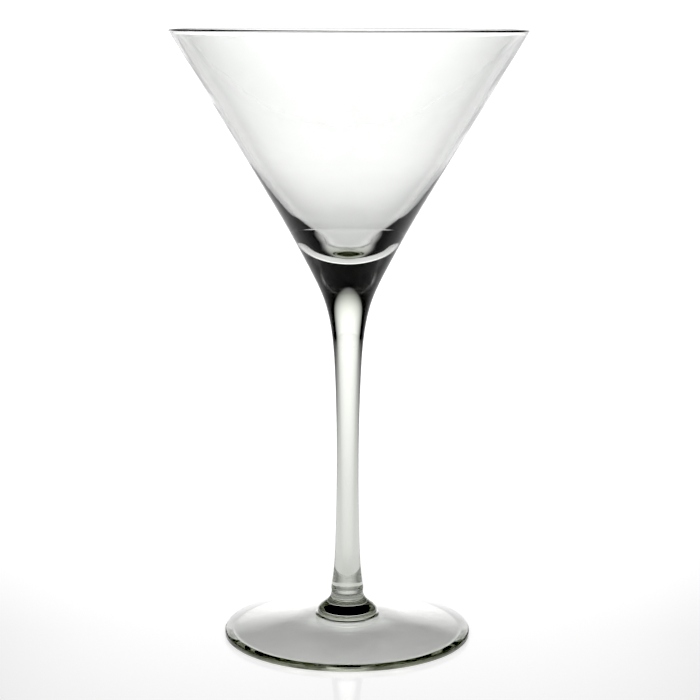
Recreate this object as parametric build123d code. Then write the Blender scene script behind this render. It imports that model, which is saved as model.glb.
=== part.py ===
from build123d import *
from math import atan, cos, pi, sin, sqrt
import os

# Martini glass: a blown conical bowl, a drawn solid stem and a spun foot, hot-fused end to end.
# Millimetres. The origin is the centre of the resting ring under the foot, +Z is up the axis of
# revolution. Every outline is drawn in the XZ plane, where x is the radius, and revolved about Z.

# Driving dimensions of the whole glass
TOTAL_HEIGHT = 190.4
RIM_RADIUS = 54.8

# Joints: the flat faces where one piece of glass is fused to the next
BOWL_STEM_Z = 112.0
BOWL_STEM_RADIUS = 9.43
BOWL_STEM_FLARE = 0.465  # change of radius per millimetre of height at the joint
STEM_FOOT_Z = 13.8
STEM_FOOT_RADIUS = 5.0

# Bowl
CONE_FLARE = 0.602  # change of radius per millimetre of height on the straight wall
CONE_END_Z = 138.0  # the straight outer wall ends here and curves in to the stem
CONE_SHOULDER = (12.46, 118.0)
WALL_THICKNESS = 0.95  # square to the wall, just under the rim
RIM_BEAD_RADIUS = 0.5  # the fire-polished lip is a little fatter than the wall
RIM_BEAD_OFFSET = 0.02  # the lip sits this much outside the middle of the wall
INNER_CONE_END = (30.1, 152.0)  # below this the wall thickens and the inside rounds off
INNER_CURVE = [(24.2, 143.0), (19.9, 137.0), (16.0, 132.0), (12.3, 128.0), (9.3, 125.0)]
INNER_BOTTOM_Z = 121.55

# Stem, from the bowl joint down to the lip above the foot joint
STEM_UPPER_CURVE = [(7.38, 107), (5.28, 98), (4.10, 84), (3.63, 70)]
STEM_LOWER_CURVE = [(3.47, 55), (3.62, 40), (3.85, 30), (4.44, 20)]
STEM_LIP = (5.15, 14.9)
STEM_LIP_FLARE = 0.15  # change of radius per millimetre going down into the lip

# Foot
FOOT_RADIUS = 39.0
FOOT_EDGE_HEIGHT = 1.9
FOOT_CORNER_RADIUS = 0.5  # rounds the upper and lower corners of the disc's edge
FOOT_SLOPE = 0.157  # rise per millimetre towards the hub, on top and underneath
RESTING_RING_INNER_RADIUS = 35.8
UNDERSIDE_CROWN_RADIUS = 18.0  # inside this the underside levels off under the hub
HUB_NECK = (6.2, 11.1)
HUB_SHOULDER = (8.7, 9.0)
HUB_WIDEST = (9.4, 7.8)
HUB_BASE_RADIUS = 9.3
HUB_TOP_FLARE = 0.2  # change of radius per millimetre going down from the joint
HUB_BASE_TUCK = 0.4  # how fast the hub draws in again where it meets the disc


def point(radius, height):
    """A point of an outline, from its radius and its height."""
    return Vector(radius, 0, height)


def points(pairs):
    """Several points of an outline, from (radius, height) pairs."""
    return [point(radius, height) for radius, height in pairs]


def turned(edges):
    """The solid of revolution whose half section is bounded by these edges."""
    section = make_face(Wire(edges))
    return revolve(section, Axis.Z, 360)


def rim_points():
    """Where the lip's bead leaves the outer wall, its top, and where it meets the inner wall."""
    lean = atan(CONE_FLARE)
    along = Vector(sin(lean), 0, cos(lean))
    outward = Vector(cos(lean), 0, -sin(lean))
    centre = point(RIM_RADIUS - RIM_BEAD_RADIUS, TOTAL_HEIGHT - RIM_BEAD_RADIUS)
    to_outer = WALL_THICKNESS / 2 - RIM_BEAD_OFFSET
    to_inner = WALL_THICKNESS / 2 + RIM_BEAD_OFFSET
    outer = centre + outward * to_outer - along * sqrt(RIM_BEAD_RADIUS**2 - to_outer**2)
    inner = centre - outward * to_inner - along * sqrt(RIM_BEAD_RADIUS**2 - to_inner**2)
    top = centre + along * RIM_BEAD_RADIUS
    return outer, top, inner


def make_bowl():
    """The open cone, with the thick solid bottom that runs down into the stem."""
    rim_outer, rim_top, rim_inner = rim_points()
    cone_end = point(rim_outer.X - (rim_outer.Z - CONE_END_Z) * CONE_FLARE, CONE_END_Z)
    joint_edge = point(BOWL_STEM_RADIUS, BOWL_STEM_Z)
    joint_centre = point(0, BOWL_STEM_Z)
    inner_cone_end = point(*INNER_CONE_END)
    inner_bottom = point(0, INNER_BOTTOM_Z)
    outer_curve = Spline(
        joint_edge,
        point(*CONE_SHOULDER),
        cone_end,
        tangents=[point(BOWL_STEM_FLARE, 1), point(CONE_FLARE, 1)],
    )
    inner_curve = Spline(
        inner_cone_end,
        *points(INNER_CURVE),
        inner_bottom,
        tangents=[inner_cone_end - rim_inner, point(-1, 0)],
    )
    return turned(
        [
            Line(joint_centre, joint_edge),
            outer_curve,
            Line(cone_end, rim_outer),
            ThreePointArc(rim_outer, rim_top, rim_inner),
            Line(rim_inner, inner_cone_end),
            inner_curve,
            Line(inner_bottom, joint_centre),
        ]
    )


def make_stem():
    """The solid rod, flared into the bowl and ending in a slight lip above the foot."""
    top_centre = point(0, BOWL_STEM_Z)
    top_edge = point(BOWL_STEM_RADIUS, BOWL_STEM_Z)
    lip = point(*STEM_LIP)
    bottom_edge = point(STEM_FOOT_RADIUS, STEM_FOOT_Z)
    bottom_centre = point(0, STEM_FOOT_Z)
    side = Spline(
        top_edge,
        *points(STEM_UPPER_CURVE),
        *points(STEM_LOWER_CURVE),
        lip,
        tangents=[point(-BOWL_STEM_FLARE, -1), point(STEM_LIP_FLARE, -1)],
    )
    return turned(
        [
            Line(top_centre, top_edge),
            side,
            Line(lip, bottom_edge),
            Line(bottom_edge, bottom_centre),
            Line(bottom_centre, top_centre),
        ]
    )


def make_foot():
    """The sloped disc, hollow underneath, with the hub that the stem is fused to."""
    joint_centre = point(0, STEM_FOOT_Z)
    joint_edge = point(STEM_FOOT_RADIUS, STEM_FOOT_Z)

    # Edge of the disc: upright, with a rounded corner above and below
    corner_radius = FOOT_RADIUS - FOOT_CORNER_RADIUS
    upper_corner = point(corner_radius, FOOT_EDGE_HEIGHT - FOOT_CORNER_RADIUS)
    lower_corner = point(corner_radius, FOOT_CORNER_RADIUS)
    slope_angle = atan(FOOT_SLOPE)
    corner_angle = (pi / 2 - slope_angle) / 2
    edge_top = upper_corner + FOOT_CORNER_RADIUS * point(sin(slope_angle), cos(slope_angle))
    upper_middle = upper_corner + FOOT_CORNER_RADIUS * point(cos(corner_angle), sin(corner_angle))
    lower_middle = lower_corner + FOOT_CORNER_RADIUS * point(cos(pi / 4), -sin(pi / 4))
    upper_end = upper_corner + point(FOOT_CORNER_RADIUS, 0)
    lower_start = lower_corner + point(FOOT_CORNER_RADIUS, 0)
    edge_bottom = point(corner_radius, 0)

    # Hub
    hub_base_z = edge_top.Z + (edge_top.X - HUB_BASE_RADIUS) * FOOT_SLOPE
    hub_base = point(HUB_BASE_RADIUS, hub_base_z)
    hub_side = Spline(
        joint_edge,
        *points([HUB_NECK, HUB_SHOULDER, HUB_WIDEST]),
        hub_base,
        tangents=[point(HUB_TOP_FLARE, -1), point(-HUB_BASE_TUCK, -1)],
    )

    # Underside: a straight slope that levels off in a parabola under the hub
    ring_inner = point(RESTING_RING_INNER_RADIUS, 0)
    crown_start_z = (RESTING_RING_INNER_RADIUS - UNDERSIDE_CROWN_RADIUS) * FOOT_SLOPE
    crown_top_z = crown_start_z + UNDERSIDE_CROWN_RADIUS / 2 * FOOT_SLOPE
    crown_start = point(UNDERSIDE_CROWN_RADIUS, crown_start_z)
    crown_control = point(UNDERSIDE_CROWN_RADIUS / 2, crown_top_z)
    crown_centre = point(0, crown_top_z)
    return turned(
        [
            Line(joint_centre, joint_edge),
            hub_side,
            Line(hub_base, edge_top),
            ThreePointArc(edge_top, upper_middle, upper_end),
            Line(upper_end, lower_start),
            ThreePointArc(lower_start, lower_middle, edge_bottom),
            Line(edge_bottom, ring_inner),
            Line(ring_inner, crown_start),
            Bezier(crown_start, crown_control, crown_centre),
            Line(crown_centre, joint_centre),
        ]
    )


os.makedirs("parts", exist_ok=True)
pieces = {"bowl": make_bowl(), "stem": make_stem(), "foot": make_foot()}
for name, piece in pieces.items():
    export_step(piece, f"parts/{name}.step")
    print(name, "volume", round(piece.volume), "mm3")
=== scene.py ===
"""Martini glass: three hot-fused pieces of clear glass, turned as fine meshes."""

import math

import bmesh
import bpy
import numpy as np
from mathutils import Matrix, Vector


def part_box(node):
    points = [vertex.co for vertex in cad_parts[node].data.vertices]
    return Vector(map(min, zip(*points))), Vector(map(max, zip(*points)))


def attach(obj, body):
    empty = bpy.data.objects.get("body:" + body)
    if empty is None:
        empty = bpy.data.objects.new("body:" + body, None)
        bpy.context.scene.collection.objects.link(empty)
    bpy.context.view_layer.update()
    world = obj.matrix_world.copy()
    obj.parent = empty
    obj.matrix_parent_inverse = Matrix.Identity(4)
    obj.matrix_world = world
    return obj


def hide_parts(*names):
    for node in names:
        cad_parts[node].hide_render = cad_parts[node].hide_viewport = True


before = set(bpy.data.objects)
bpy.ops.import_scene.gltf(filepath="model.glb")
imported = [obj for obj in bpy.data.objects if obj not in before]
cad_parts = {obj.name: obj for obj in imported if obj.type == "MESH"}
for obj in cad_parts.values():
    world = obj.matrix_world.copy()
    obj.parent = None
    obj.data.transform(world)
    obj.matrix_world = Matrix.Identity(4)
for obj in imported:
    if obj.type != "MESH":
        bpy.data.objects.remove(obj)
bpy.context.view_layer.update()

MM = 0.001

# Fineness of the meshes
SEGMENTS = 288  # round the axis
LIP_STEPS = 40
CORNER_STEPS = 10
CROWN_STEPS = 40
LINE_SPACING = 1.0  # mm
STEM_END_LINE_SPACING = 0.2
FOOT_EDGE_LINE_SPACING = 0.3
RESTING_RING_LINE_SPACING = 0.5
CURVE_POINTS_PER_MM = 2.0
HUB_POINTS_PER_MM = 4.0

# The frame gives the heights where one piece of glass meets the next, and the overall radii.
bowl_low, bowl_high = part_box("bowl")
foot_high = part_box("foot")[1]
TOTAL_HEIGHT = bowl_high.z / MM
RIM_RADIUS = bowl_high.x / MM
FOOT_RADIUS = foot_high.x / MM
BOWL_STEM_Z = bowl_low.z / MM
STEM_FOOT_Z = foot_high.z / MM

# Outlines, in millimetres: distance from the axis, height above the table
CONE_FLARE = 0.602
CONE_END_Z = 138.0
OUTER_CURVE = [
    (12.46, 118.0),
    (9.43, 112.0),
    (7.38, 107.0),
    (5.28, 98.0),
    (4.10, 84.0),
    (3.63, 70.0),
    (3.47, 55.0),
    (3.62, 40.0),
    (3.85, 30.0),
    (4.44, 20.0),
]
STEM_LIP = (5.15, 14.9)
STEM_FOOT_RADIUS = 5.0
STEM_LIP_FLARE = 0.15
WALL_THICKNESS = 0.95
RIM_BEAD_RADIUS = 0.5
RIM_BEAD_OFFSET = 0.02
INNER_CONE_END = (30.1, 152.0)
INNER_CURVE = [(24.2, 143.0), (19.9, 137.0), (16.0, 132.0), (12.3, 128.0), (9.3, 125.0)]
INNER_BOTTOM_Z = 121.55
FOOT_EDGE_HEIGHT = 1.9
FOOT_CORNER_RADIUS = 0.5
FOOT_SLOPE = 0.157
RESTING_RING_INNER_RADIUS = 35.8
UNDERSIDE_CROWN_RADIUS = 18.0
HUB = [(6.2, 11.1), (8.7, 9.0), (9.4, 7.8)]
HUB_BASE_RADIUS = 9.3
HUB_TOP_FLARE = 0.2
HUB_BASE_TUCK = 0.4
JOINT_GAP = 0.01  # keeps the faces of two fused pieces just apart
SAME_HEIGHT = 1e-7  # metres

# Glass
GLASS_IOR = 1.5
GLASS_TINT_DARK = (0.875, 0.882, 0.874)
GLASS_TINT_LIGHT = (0.895, 0.902, 0.896)
STREAK_SCALE = 70.0  # per metre
STREAK_STRETCH = 0.3  # streaks are drawn out along the axis
SEED_SCALE = 60.0  # per metre
SEED_SIZE = 0.018  # share of the distance from one seed to the next
SEED_TINT = (0.62, 0.63, 0.62)
RIPPLE_STRENGTH = 0.2
RIPPLE_DEPTH = 0.0003  # metres
BOWL_DENSITY = 3.0  # per metre
STEM_DENSITY = 30.0
FOOT_DENSITY = 18.0
ABSORPTION_COLOUR = (0.15, 0.2, 0.0)  # a grey-green glass


def spline(knots, start_direction, end_direction, per_span):
    """Points of a smooth curve through the knots, with its directions at both ends given."""
    knots = np.array(knots, float)
    spans = np.linalg.norm(np.diff(knots, axis=0), axis=1)
    count = len(knots)
    system = np.zeros((count, count))
    target = np.zeros((count, 2))
    system[0, 0] = system[-1, -1] = 1.0
    target[0] = np.array(start_direction, float) / np.linalg.norm(start_direction)
    target[-1] = np.array(end_direction, float) / np.linalg.norm(end_direction)
    for i in range(1, count - 1):
        before, after = spans[i - 1], spans[i]
        system[i, i - 1 : i + 2] = after, 2 * (before + after), before
        rise_before = (knots[i] - knots[i - 1]) / before
        rise_after = (knots[i + 1] - knots[i]) / after
        target[i] = 3 * (after * rise_before + before * rise_after)
    slopes = np.linalg.solve(system, target)
    curve = []
    for i in range(count - 1):
        steps = max(2, int(math.ceil(spans[i] * per_span)))
        t = np.linspace(0, 1, steps, endpoint=False)[:, None]
        h = spans[i]
        curve.append(
            (2 * t**3 - 3 * t**2 + 1) * knots[i]
            + (t**3 - 2 * t**2 + t) * h * slopes[i]
            + (-2 * t**3 + 3 * t**2) * knots[i + 1]
            + (t**3 - t**2) * h * slopes[i + 1]
        )
    curve.append(knots[-1:])
    return np.concatenate(curve)


def line(start, end, spacing):
    """Evenly spaced points of a straight run, both ends included."""
    start, end = np.array(start, float), np.array(end, float)
    steps = max(1, int(math.ceil(np.linalg.norm(end - start) / spacing)))
    t = np.linspace(0, 1, steps + 1)[:, None]
    return start + (end - start) * t


def arc(centre, radius, start_angle, end_angle, steps):
    """Points of a circular arc, with angles in radians from the outward radius towards +Z."""
    angles = np.linspace(start_angle, end_angle, steps + 1)
    return np.stack(
        [centre[0] + radius * np.cos(angles), centre[1] + radius * np.sin(angles)], -1
    )


def joined(*runs):
    """One outline from runs that share their end points."""
    kept = [runs[0]]
    for run in runs[1:]:
        kept.append(run[1:] if np.allclose(run[0], kept[-1][-1]) else run)
    return np.concatenate(kept)


def turned(name, outline, sharp_rows=()):
    """A closed solid of revolution. The outline starts and ends on the axis."""
    mesh = bpy.data.meshes.new(name)
    bm = bmesh.new()
    angles = np.arange(SEGMENTS) * 2 * math.pi / SEGMENTS
    rows = []
    for radius, height in outline:
        if radius < 1e-6:
            rows.append([bm.verts.new((0, 0, height * MM))])
            continue
        rows.append(
            [
                bm.verts.new((radius * MM * math.cos(a), radius * MM * math.sin(a), height * MM))
                for a in angles
            ]
        )
    for low, high in zip(rows, rows[1:]):
        for i in range(SEGMENTS):
            j = (i + 1) % SEGMENTS
            if len(low) == 1:
                corners = [low[0], high[j], high[i]]
            elif len(high) == 1:
                corners = [low[i], low[j], high[0]]
            else:
                corners = [low[i], low[j], high[j], high[i]]
            face = bm.faces.new(corners)
            face.smooth = True
    for row in sharp_rows:
        ring = rows[row]
        for i in range(SEGMENTS):
            edge = bm.edges.get((ring[i], ring[(i + 1) % SEGMENTS]))
            edge.smooth = False
    bmesh.ops.recalc_face_normals(bm, faces=bm.faces)
    bm.to_mesh(mesh)
    bm.free()
    piece = bpy.data.objects.new(name, mesh)
    bpy.context.scene.collection.objects.link(piece)
    return piece


def rim_lip():
    """The fire-polished lip: its points from the outer wall over the top to the inner wall."""
    lean = math.atan(CONE_FLARE)
    centre = (RIM_RADIUS - RIM_BEAD_RADIUS, TOTAL_HEIGHT - RIM_BEAD_RADIUS)
    to_outer = WALL_THICKNESS / 2 - RIM_BEAD_OFFSET
    to_inner = WALL_THICKNESS / 2 + RIM_BEAD_OFFSET
    outer_angle = -lean - math.acos(to_outer / RIM_BEAD_RADIUS)
    inner_angle = math.pi - lean + math.acos(to_inner / RIM_BEAD_RADIUS)
    return arc(centre, RIM_BEAD_RADIUS, outer_angle, inner_angle, LIP_STEPS)


lip = rim_lip()
cone_end = (lip[0][0] - (lip[0][1] - CONE_END_Z) * CONE_FLARE, CONE_END_Z)
outside = spline(
    [cone_end, *OUTER_CURVE, STEM_LIP],
    (-CONE_FLARE, -1),
    (STEM_LIP_FLARE, -1),
    CURVE_POINTS_PER_MM,
)
joint_row = int(np.argmin(abs(outside[:, 1] - BOWL_STEM_Z)))
bowl_side = outside[: joint_row + 1]
stem_side = outside[joint_row:]


def make_bowl():
    """The open cone with its lip and its thick solid bottom."""
    inside = spline(
        [INNER_CONE_END, *INNER_CURVE, (0, INNER_BOTTOM_Z)],
        np.array(INNER_CONE_END) - lip[-1],
        (-1, 0),
        CURVE_POINTS_PER_MM,
    )
    bottom = line((0, bowl_side[-1][1]), bowl_side[-1], LINE_SPACING)
    outline = joined(
        bottom,
        bowl_side[::-1],
        line(cone_end, lip[0], LINE_SPACING),
        lip,
        line(lip[-1], INNER_CONE_END, LINE_SPACING),
        inside,
    )
    return turned("bowl_glass_piece", outline, [len(bottom) - 1])


def make_stem():
    """The solid rod, flared into the bowl, with a slight lip above the foot."""
    top_edge = stem_side[0] - (0, JOINT_GAP)
    top = line((0, top_edge[1]), top_edge, LINE_SPACING)
    foot_edge = np.array((STEM_FOOT_RADIUS, STEM_FOOT_Z + JOINT_GAP))
    bottom = line(foot_edge, (0, foot_edge[1]), LINE_SPACING)
    outline = joined(
        top,
        stem_side[1:],
        line(STEM_LIP, foot_edge, STEM_END_LINE_SPACING),
        bottom,
    )
    return turned("stem_glass_piece", outline, [len(top) - 1, len(outline) - len(bottom)])


def make_foot():
    """The sloped disc, hollow underneath, with the hub that the stem is fused to."""
    corner_radius = FOOT_RADIUS - FOOT_CORNER_RADIUS
    upper_corner = (corner_radius, FOOT_EDGE_HEIGHT - FOOT_CORNER_RADIUS)
    lower_corner = (corner_radius, FOOT_CORNER_RADIUS)
    top_angle = math.pi / 2 - math.atan(FOOT_SLOPE)
    upper_arc = arc(upper_corner, FOOT_CORNER_RADIUS, top_angle, 0, CORNER_STEPS)
    lower_arc = arc(lower_corner, FOOT_CORNER_RADIUS, 0, -math.pi / 2, CORNER_STEPS)
    edge = joined(
        upper_arc,
        line(upper_arc[-1], lower_arc[0], FOOT_EDGE_LINE_SPACING),
        lower_arc,
    )

    hub_base_z = edge[0][1] + (edge[0][0] - HUB_BASE_RADIUS) * FOOT_SLOPE
    hub_base = (HUB_BASE_RADIUS, hub_base_z)
    joint_edge = (STEM_FOOT_RADIUS, STEM_FOOT_Z)
    top = line((0, STEM_FOOT_Z), joint_edge, LINE_SPACING)
    hub = spline(
        [joint_edge, *HUB, hub_base],
        (HUB_TOP_FLARE, -1),
        (-HUB_BASE_TUCK, -1),
        HUB_POINTS_PER_MM,
    )

    # The underside rises inwards as steeply as the top, and levels off in a parabola under the hub.
    crown_start_z = (RESTING_RING_INNER_RADIUS - UNDERSIDE_CROWN_RADIUS) * FOOT_SLOPE
    share = np.linspace(1, 0, CROWN_STEPS)
    crown_z = crown_start_z + UNDERSIDE_CROWN_RADIUS * FOOT_SLOPE * (1 - share**2) / 2
    underside = joined(
        line(
            (RESTING_RING_INNER_RADIUS, 0),
            (UNDERSIDE_CROWN_RADIUS, crown_start_z),
            LINE_SPACING,
        ),
        np.stack([UNDERSIDE_CROWN_RADIUS * share, crown_z], -1),
    )
    outline = joined(
        top,
        hub,
        line(hub_base, edge[0], LINE_SPACING),
        edge,
        line(edge[-1], underside[0], RESTING_RING_LINE_SPACING),
        underside,
    )
    return turned("foot_glass_piece", outline, [len(top) - 1])


def math_node(tree, operation, *values):
    """The result of one calculation on sockets or plain numbers."""
    node = tree.nodes.new("ShaderNodeMath")
    node.operation = operation
    for socket, value in zip(node.inputs, values):
        if isinstance(value, bpy.types.NodeSocket):
            tree.links.new(value, socket)
        else:
            socket.default_value = value
    return node.outputs[0]


def smooth_step(tree, value, low, high, at_low, at_high):
    """at_low below low, at_high above high, and a smooth change between them."""
    node = tree.nodes.new("ShaderNodeMapRange")
    node.interpolation_type = "SMOOTHSTEP"
    node.inputs["From Min"].default_value = low
    node.inputs["From Max"].default_value = high
    node.inputs["To Min"].default_value = at_low
    node.inputs["To Max"].default_value = at_high
    tree.links.new(value, node.inputs["Value"])
    return node.outputs["Result"]


def texture(tree, kind, position, scale):
    """A texture node of this kind, read at a position."""
    node = tree.nodes.new(kind)
    node.inputs["Scale"].default_value = scale
    tree.links.new(position, node.inputs["Vector"])
    return node


def mixed(tree, factor, at_zero, at_one):
    """A colour between two others."""
    node = tree.nodes.new("ShaderNodeMix")
    node.data_type = "RGBA"
    # The number, vector and colour versions of these sockets share their names.
    first, second = node.inputs[6], node.inputs[7]
    for socket, colour in ((first, at_zero), (second, at_one)):
        if isinstance(colour, bpy.types.NodeSocket):
            tree.links.new(colour, socket)
        else:
            socket.default_value = (*colour, 1)
    tree.links.new(factor, node.inputs[0])
    return node.outputs[2]


def glass_material(name, density):
    """Clear glass, a little darker with depth, with faint flow streaks, ripples and tiny seeds.

    On a melted joint it has no surface: light goes straight on.
    """
    material = bpy.data.materials.new(name)
    material.use_nodes = True
    tree = material.node_tree
    shader = tree.nodes["Principled BSDF"]
    output = tree.nodes["Material Output"]
    shader.inputs["Roughness"].default_value = 0.0
    shader.inputs["Transmission Weight"].default_value = 1.0

    joint = tree.nodes.new("ShaderNodeAttribute")
    joint.attribute_name = "melted_joint"
    index = math_node(tree, "MULTIPLY_ADD", joint.outputs["Fac"], 1.0 - GLASS_IOR, GLASS_IOR)
    tree.links.new(index, shader.inputs["IOR"])

    position = tree.nodes.new("ShaderNodeTexCoord").outputs["Object"]
    stretch = tree.nodes.new("ShaderNodeMapping")
    stretch.inputs["Scale"].default_value = (1, 1, STREAK_STRETCH)
    tree.links.new(position, stretch.inputs["Vector"])
    streaks = texture(tree, "ShaderNodeTexNoise", stretch.outputs[0], STREAK_SCALE)
    seeds = texture(tree, "ShaderNodeTexVoronoi", position, SEED_SCALE)
    streak_tint = mixed(tree, streaks.outputs["Fac"], GLASS_TINT_DARK, GLASS_TINT_LIGHT)
    seed_mask = smooth_step(tree, seeds.outputs["Distance"], SEED_SIZE / 2, SEED_SIZE, 1.0, 0.0)
    tint = mixed(tree, seed_mask, streak_tint, SEED_TINT)
    tree.links.new(mixed(tree, joint.outputs["Fac"], tint, (1, 1, 1)), shader.inputs["Base Color"])

    ripple = tree.nodes.new("ShaderNodeBump")
    ripple.inputs["Strength"].default_value = RIPPLE_STRENGTH
    ripple.inputs["Distance"].default_value = RIPPLE_DEPTH
    tree.links.new(streaks.outputs["Fac"], ripple.inputs["Height"])
    tree.links.new(ripple.outputs["Normal"], shader.inputs["Normal"])

    absorption = tree.nodes.new("ShaderNodeVolumeAbsorption")
    absorption.inputs["Color"].default_value = (*ABSORPTION_COLOUR, 1)
    absorption.inputs["Density"].default_value = density
    tree.links.new(absorption.outputs[0], output.inputs["Volume"])
    return material


def finish_piece(piece, node, material, joint_heights):
    """Gives a piece its glass, marks its melted faces and registers it with the frame."""
    piece.data.materials.append(material)
    melted = piece.data.attributes.new("melted_joint", "FLOAT", "FACE")
    vertices = piece.data.vertices
    for polygon in piece.data.polygons:
        heights = [vertices[v].co.z for v in polygon.vertices]
        for joint_height in joint_heights:
            if all(abs(height - joint_height * MM) < SAME_HEIGHT for height in heights):
                melted.data[polygon.index].value = 1.0
    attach(piece, "root")
    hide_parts(node)


bowl_glass = glass_material("bowl_clear", BOWL_DENSITY)
stem_glass = glass_material("stem_clear", STEM_DENSITY)
foot_glass = glass_material("foot_clear", FOOT_DENSITY)
bowl_joints = [bowl_side[-1][1]]
stem_joints = [stem_side[0][1] - JOINT_GAP, STEM_FOOT_Z + JOINT_GAP]
foot_joints = [STEM_FOOT_Z]
finish_piece(make_bowl(), "bowl", bowl_glass, bowl_joints)
finish_piece(make_stem(), "stem", stem_glass, stem_joints)
finish_piece(make_foot(), "foot", foot_glass, foot_joints)

# Camera, in metres and degrees
CAMERA_X = 0.0006
CAMERA_DISTANCE = 0.5928
CAMERA_HEIGHT = 0.1955
CAMERA_PITCH = 9.95
CAMERA_ROLL = 0.2
SENSOR_WIDTH = 36.0  # mm
FOCAL_LENGTH = 99.15

# Studio: a soft white glow on the backdrop behind the glass, and dark walls. Angles in degrees.
BACKDROP_BRIGHTNESS = 1.87
BACKDROP_HALF_WIDTH = 36
BACKDROP_HALF_HEIGHT = 23
SIDE_WALL_BRIGHTNESS = 0.008
FRONT_WALL_BRIGHTNESS = 0.02
SIDE_WALL_END = 70
FRONT_WALL_START = 120

# Table: pale and glossy, glowing from inside with painted light, brightest round the glass and
# behind it. Metres.
TABLE_SIZE = 12.0
TABLE_Z = -0.00005
TABLE_GREY = 0.6
TABLE_ROUGHNESS = 0.06
TABLE_GLOW = 0.87
GLOW_CENTRE_Y = 0.15
GLOW_HALF_WIDTH = 0.19
GLOW_WIDENING = 0.6  # the glow spreads this much to each side per metre behind the glass
GLOW_HALF_LENGTH = 1.3
# Painted shade: the table's glow is dimmed towards the front.
FRONT_DARK_Y = -0.18
FRONT_LIT_Y = -0.065
FRONT_SHARE = 0.12
PAINTED_SHADOW_INNER_RADIUS = 0.035  # painted shadow of the foot on the table under it
PAINTED_SHADOW_OUTER_RADIUS = 0.041
PAINTED_SHADOW_SHARE = 0.6

# View: the darkest greys are taken down to black
BLACK_LEVEL = 0.04
LIGHT_BOUNCES = 32
CLEAR_BOUNCES = 16


def make_camera():
    """The camera, in front of the glass and looking slightly down."""
    lens = bpy.data.cameras.new("camera")
    lens.sensor_width = SENSOR_WIDTH
    lens.lens = FOCAL_LENGTH
    camera = bpy.data.objects.new("camera", lens)
    bpy.context.scene.collection.objects.link(camera)
    bpy.context.scene.camera = camera
    camera.location = (CAMERA_X, -CAMERA_DISTANCE, CAMERA_HEIGHT)
    tilt = Matrix.Rotation(math.radians(90 - CAMERA_PITCH), 4, "X")
    roll = Matrix.Rotation(math.radians(CAMERA_ROLL), 4, "Z")
    camera.rotation_euler = (tilt @ roll).to_euler()


def make_studio():
    """The light all round: the glowing backdrop and the dark walls."""
    world = bpy.data.worlds.new("studio")
    bpy.context.scene.world = world
    world.use_nodes = True
    tree = world.node_tree
    axes = tree.nodes.new("ShaderNodeSeparateXYZ")
    tree.links.new(tree.nodes.new("ShaderNodeTexCoord").outputs["Generated"], axes.inputs[0])
    azimuth = math_node(tree, "ARCTAN2", axes.outputs["X"], axes.outputs["Y"])
    elevation = math_node(tree, "ARCSINE", axes.outputs["Z"])

    # The backdrop fades from its middle to its elliptical outline.
    across = math_node(tree, "DIVIDE", azimuth, math.radians(BACKDROP_HALF_WIDTH))
    above = math_node(tree, "DIVIDE", elevation, math.radians(BACKDROP_HALF_HEIGHT))
    across_squared = math_node(tree, "MULTIPLY", across, across)
    from_middle = math_node(tree, "MULTIPLY_ADD", above, above, across_squared)
    fade = math_node(tree, "SUBTRACT", 1.0, from_middle)
    glow = math_node(tree, "MAXIMUM", fade, 0.0)

    wall = smooth_step(
        tree,
        math_node(tree, "ABSOLUTE", azimuth),
        math.radians(SIDE_WALL_END),
        math.radians(FRONT_WALL_START),
        SIDE_WALL_BRIGHTNESS,
        FRONT_WALL_BRIGHTNESS,
    )
    light = math_node(tree, "MULTIPLY_ADD", glow, BACKDROP_BRIGHTNESS, wall)
    background = tree.nodes["Background"]
    background.inputs["Color"].default_value = (1, 1, 1, 1)
    tree.links.new(light, background.inputs["Strength"])


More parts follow.
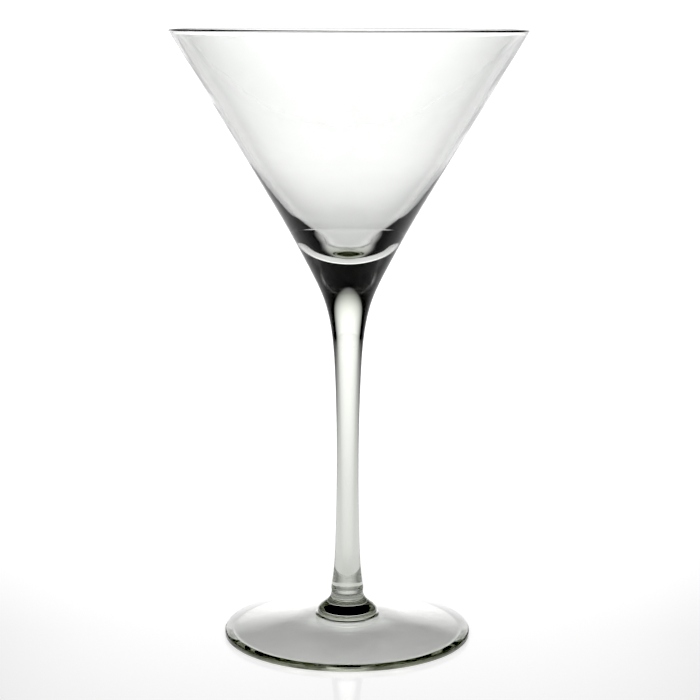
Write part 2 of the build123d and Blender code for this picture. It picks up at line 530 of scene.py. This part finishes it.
def table_glow(tree, x, y):
    """How brightly the table glows with painted light at a place on it, with painted shade at the
    front and a painted shadow under the foot.
    """
    # Painted pool of light: brightest round the glass and behind it, fading away from it.
    behind = math_node(tree, "MAXIMUM", y, 0.0)
    half_width = math_node(tree, "MULTIPLY_ADD", behind, GLOW_WIDENING, GLOW_HALF_WIDTH)
    across = math_node(tree, "DIVIDE", x, half_width)
    across_squared = math_node(tree, "MULTIPLY", across, across)
    from_centre = math_node(tree, "SUBTRACT", y, GLOW_CENTRE_Y)
    along = math_node(tree, "DIVIDE", from_centre, GLOW_HALF_LENGTH)
    along_falloff = math_node(tree, "MULTIPLY_ADD", along, along, 1.0)
    falloff = math_node(tree, "MULTIPLY_ADD", across_squared, across_squared, along_falloff)
    glow = math_node(tree, "DIVIDE", TABLE_GLOW, falloff)

    y_squared = math_node(tree, "MULTIPLY", y, y)
    from_axis = math_node(tree, "SQRT", math_node(tree, "MULTIPLY_ADD", x, x, y_squared))
    # Painted shade towards the front of the table.
    front = smooth_step(tree, y, FRONT_DARK_Y, FRONT_LIT_Y, FRONT_SHARE, 1.0)
    # Painted shadow: the table glows less under the foot.
    painted_foot_shadow = smooth_step(
        tree, from_axis, PAINTED_SHADOW_INNER_RADIUS, PAINTED_SHADOW_OUTER_RADIUS, PAINTED_SHADOW_SHARE, 1.0
    )
    return math_node(tree, "MULTIPLY", glow, math_node(tree, "MULTIPLY", front, painted_foot_shadow))


def make_table():
    """The table, which is part of the stage and not of the glass."""
    bpy.ops.mesh.primitive_grid_add(
        x_subdivisions=2, y_subdivisions=2, size=TABLE_SIZE, location=(0, 0, TABLE_Z)
    )
    table = bpy.context.object
    table.name = "table"
    material = bpy.data.materials.new("table_white")
    material.use_nodes = True
    tree = material.node_tree
    shader = tree.nodes["Principled BSDF"]
    shader.inputs["Base Color"].default_value = (TABLE_GREY, TABLE_GREY, TABLE_GREY, 1)
    shader.inputs["Roughness"].default_value = TABLE_ROUGHNESS
    place = tree.nodes.new("ShaderNodeSeparateXYZ")
    tree.links.new(tree.nodes.new("ShaderNodeTexCoord").outputs["Object"], place.inputs[0])
    glow = table_glow(tree, place.outputs["X"], place.outputs["Y"])
    shader.inputs["Emission Color"].default_value = (1, 1, 1, 1)
    # The table glows with painted light, though it is no lamp.
    tree.links.new(glow, shader.inputs["Emission Strength"])
    table.data.materials.append(material)


make_camera()
make_studio()
make_table()

scene = bpy.context.scene
scene.view_settings.view_transform = "Standard"
scene.view_settings.use_curve_mapping = True
scene.view_settings.curve_mapping.black_level = (BLACK_LEVEL, BLACK_LEVEL, BLACK_LEVEL)
scene.view_settings.curve_mapping.update()
scene.cycles.max_bounces = LIGHT_BOUNCES
scene.cycles.transmission_bounces = LIGHT_BOUNCES
scene.cycles.glossy_bounces = LIGHT_BOUNCES
scene.cycles.transparent_max_bounces = CLEAR_BOUNCES
